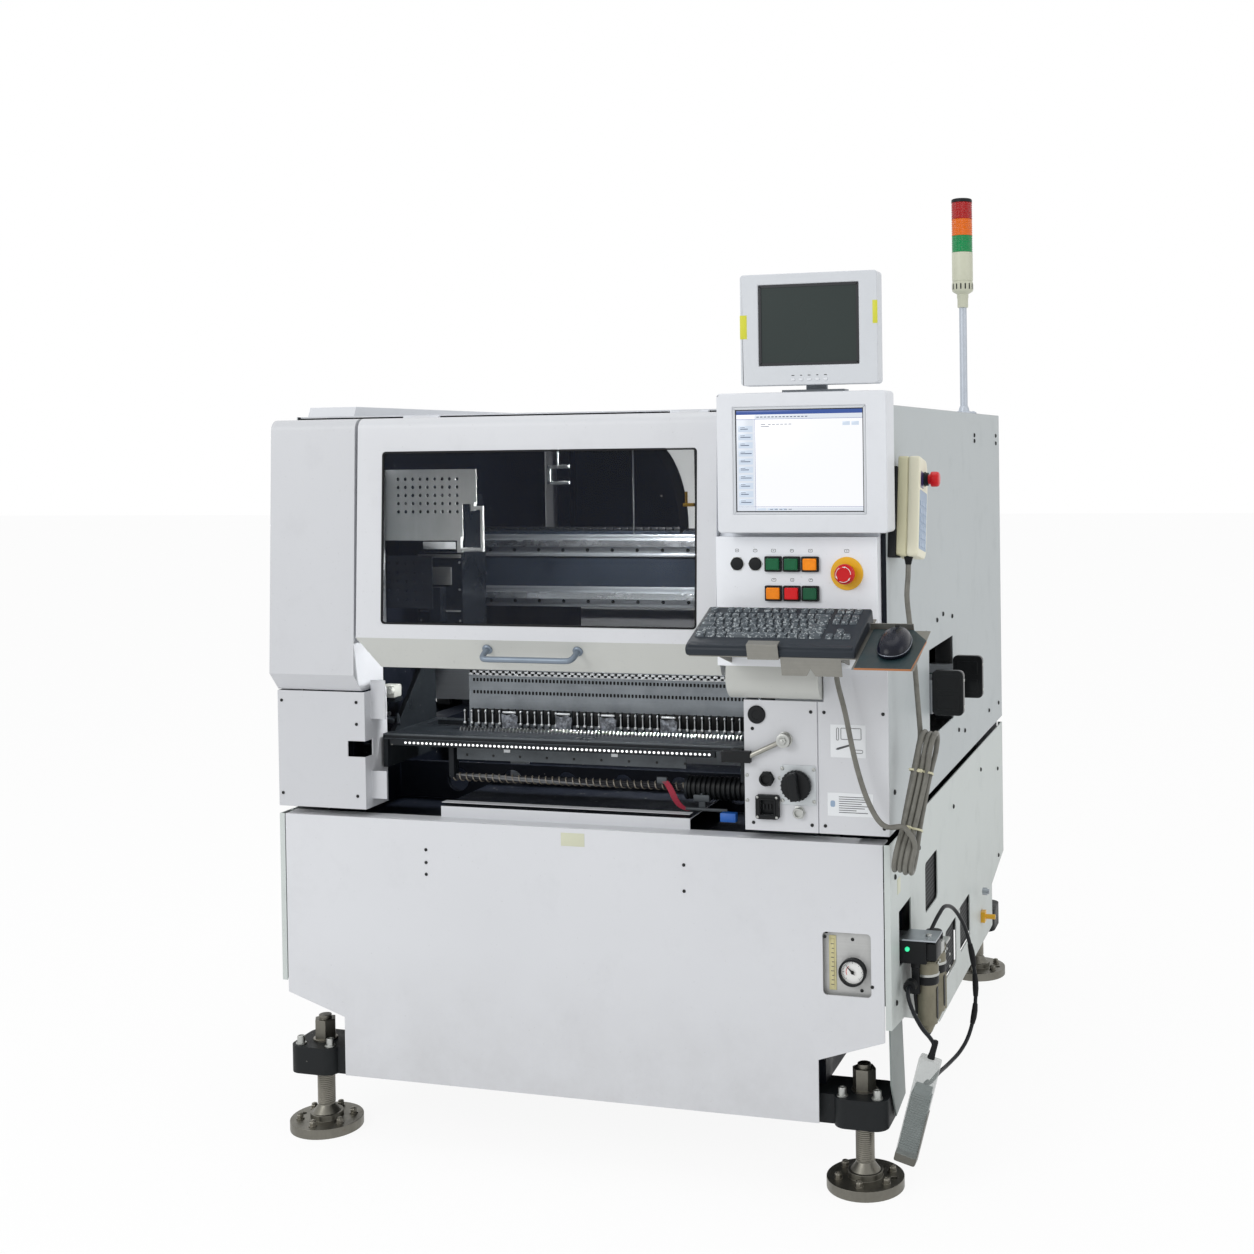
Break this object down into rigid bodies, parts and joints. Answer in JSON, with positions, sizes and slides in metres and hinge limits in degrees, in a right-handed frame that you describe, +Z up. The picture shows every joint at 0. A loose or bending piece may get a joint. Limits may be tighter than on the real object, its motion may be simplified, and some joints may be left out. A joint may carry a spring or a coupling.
{
  "type": "component placement machine",
  "caption": "Floor-standing component placement machine with a gantry head, feeder bank, windowed door, operator displays and signal tower.",
  "frame": {"origin": "on the floor, midway between the four levelling feet", "axes": "+X to the operator's right, +Y from the operator into the machine, +Z up"},
  "size_m": [1.4747, 1.6931, 2.042],
  "materials": {
    "white_paint": "fine textured powder coat",
    "grey_paint": "fine textured powder coat",
    "dark_casting": "satin paint on cast iron",
    "feet_steel": "bright turned steel, slightly dulled",
    "smoked_pane": "smoked polycarbonate",
    "handle_grey": "satin",
    "display_case": "fine texture",
    "mount_grey": "satin",
    "tower_beige": "satin",
    "lens_red": "clear coloured",
    "lens_amber": "clear coloured",
    "lens_green": "clear coloured",
    "button_green": "translucent cap",
    "button_orange": "translucent cap",
    "button_red": "translucent cap",
    "fittings_black": "satin",
    "stop_red": "satin",
    "tray_metal": "bare sheet",
    "key_grey": "fine texture",
    "mouse_black": "gloss",
    "holder_black": "satin",
    "pendant_beige": "fine texture",
    "cord_grey": "matt sheath",
    "lead_black": "matt sheath",
    "case_clear": "translucent ribbed",
    "air_metal": "cast and painted",
    "gauge_case": "satin",
    "needle_black": "matt",
    "rail_alu": "anodised",
    "bank_steel": "plated and painted",
    "nozzle_steel": "ground",
    "guard_steel": "perforated sheet",
    "bundle_wrap": "spiral wrap"
  },
  "bodies": {
    "frame": {"base_frame": "dark_casting", "levelling_feet": "feet_steel", "foot_brackets": "dark_casting", "front_lower_panel": "white_paint", "rear_lower_panel": "grey_paint", "left_lower_panel": "grey_paint", "right_lower_panel": "grey_paint", "left_side_cover": "grey_paint", "right_side_cover": "grey_paint", "top_cover": "white_paint", "front_left_cover": "white_paint", "front_left_lower_cover": "white_paint", "console_housing": "white_paint", "right_lower_cover": "white_paint", "main_display": "display_case", "display_mount": "mount_grey", "signal_pole": "tower_beige", "signal_red": "lens_red", "signal_amber": "lens_amber", "signal_green": "lens_green", "panel_fittings": "fittings_black", "keyboard_tray": "tray_metal", "keyboard": "key_grey", "mouse": "mouse_black", "pendant_holder": "holder_black", "pendant": "pendant_beige", "pendant_cord": "cord_grey", "pendant_hank": "cord_grey", "air_unit": "air_metal", "pressure_gauge": "gauge_case", "air_leads": "lead_black", "hanging_case": "case_clear", "conveyor_front_rail": "rail_alu", "feeder_bank": "bank_steel", "bank_link": "dark_casting", "perforated_guard": "guard_steel", "cable_bundle": "bundle_wrap"},
    "door": {"front_door": "white_paint", "front_window": "smoked_pane", "front_handle": "handle_grey"},
    "rear_hood": {"rear_door": "grey_paint"},
    "vision": {"vision_display": "display_case"},
    "gantry": {"gantry_beam": "dark_casting"},
    "head": {"placement_head": "dark_casting"},
    "rear_track": {"conveyor_rear_rail": "rail_alu"},
    "stop_head": {"emergency_stop": "stop_red"},
    "switch_knob": {"main_switch": "fittings_black"},
    "pendant_stop_head": {"pendant_stop": "stop_red"},
    "air_knob": {"regulator_knob": "holder_black"},
    "needle": {"gauge_needle": "needle_black"},
    "button_1_cap": {"button_1": "button_green"},
    "button_2_cap": {"button_2": "button_green"},
    "button_3_cap": {"button_3": "button_orange"},
    "button_4_cap": {"button_4": "button_orange"},
    "button_5_cap": {"button_5": "button_red"},
    "button_6_cap": {"button_6": "button_green"},
    "nozzle_1_spindle": {"nozzle_1": "nozzle_steel"},
    "nozzle_2_spindle": {"nozzle_2": "nozzle_steel"},
    "nozzle_3_spindle": {"nozzle_3": "nozzle_steel"},
    "nozzle_4_spindle": {"nozzle_4": "nozzle_steel"}
  },
  "joints": [
    {"name": "front_door_hinge", "type": "hinge", "parent": "frame", "child": "door", "pos_m": [0, -0.605, 1.488], "axis": [-1, 0, 0], "range_deg": [0, 75]},
    {"name": "rear_door_hinge", "type": "hinge", "parent": "frame", "child": "rear_hood", "pos_m": [0, 0.605, 1.488], "axis": [1, 0, 0], "range_deg": [0, 75]},
    {"name": "vision_tilt", "type": "hinge", "parent": "frame", "child": "vision", "pos_m": [0.523, -0.713, 1.634], "axis": [1, 0, 0], "range_deg": [-12, 6]},
    {"name": "gantry_y", "type": "slide", "parent": "frame", "child": "gantry", "axis": [0, 1, 0], "range_m": [-0.08, 0.44]},
    {"name": "head_x", "type": "slide", "parent": "gantry", "child": "head", "axis": [1, 0, 0], "range_m": [0, 0.86]},
    {"name": "nozzle_1_z", "type": "slide", "parent": "head", "child": "nozzle_1_spindle", "axis": [0, 0, -1], "range_m": [0, 0.06]},
    {"name": "nozzle_2_z", "type": "slide", "parent": "head", "child": "nozzle_2_spindle", "axis": [0, 0, -1], "range_m": [0, 0.06]},
    {"name": "nozzle_3_z", "type": "slide", "parent": "head", "child": "nozzle_3_spindle", "axis": [0, 0, -1], "range_m": [0, 0.06]},
    {"name": "nozzle_4_z", "type": "slide", "parent": "head", "child": "nozzle_4_spindle", "axis": [0, 0, -1], "range_m": [0, 0.06]},
    {"name": "track_width", "type": "slide", "parent": "frame", "child": "rear_track", "axis": [0, -1, 0], "range_m": [0, 0.12]},
    {"name": "button_1_push", "type": "slide", "parent": "frame", "child": "button_1_cap", "axis": [0, 1, 0], "range_m": [0, 0.003], "stiffness_N_per_m": 300},
    {"name": "button_2_push", "type": "slide", "parent": "frame", "child": "button_2_cap", "axis": [0, 1, 0], "range_m": [0, 0.003], "stiffness_N_per_m": 300},
    {"name": "button_3_push", "type": "slide", "parent": "frame", "child": "button_3_cap", "axis": [0, 1, 0], "range_m": [0, 0.003], "stiffness_N_per_m": 300},
    {"name": "button_4_push", "type": "slide", "parent": "frame", "child": "button_4_cap", "axis": [0, 1, 0], "range_m": [0, 0.003], "stiffness_N_per_m": 300},
    {"name": "button_5_push", "type": "slide", "parent": "frame", "child": "button_5_cap", "axis": [0, 1, 0], "range_m": [0, 0.003], "stiffness_N_per_m": 300},
    {"name": "button_6_push", "type": "slide", "parent": "frame", "child": "button_6_cap", "axis": [0, 1, 0], "range_m": [0, 0.003], "stiffness_N_per_m": 300},
    {"name": "emergency_push", "type": "slide", "parent": "frame", "child": "stop_head", "axis": [0, 1, 0], "range_m": [0, 0.004]},
    {"name": "main_switch_turn", "type": "hinge", "parent": "frame", "child": "switch_knob", "pos_m": [0.471, -0.714, 0.775], "axis": [0, -1, 0], "range_deg": [0, 90]},
    {"name": "pendant_stop_push", "type": "slide", "parent": "frame", "child": "pendant_stop_head", "axis": [-1, 0, 0], "range_m": [0, 0.004]},
    {"name": "regulator_turn", "type": "hinge", "parent": "frame", "child": "air_knob", "pos_m": [0.694, -0.508, 0.44], "axis": [0, 0, 1], "range_deg": [-360, 360]},
    {"name": "needle_turn", "type": "hinge", "parent": "frame", "child": "needle", "pos_m": [0.574, -0.6976, 0.424], "axis": [0, -1, 0], "range_deg": [-100, 160], "stiffness_Nm_per_rad": 0.002}
  ]
}
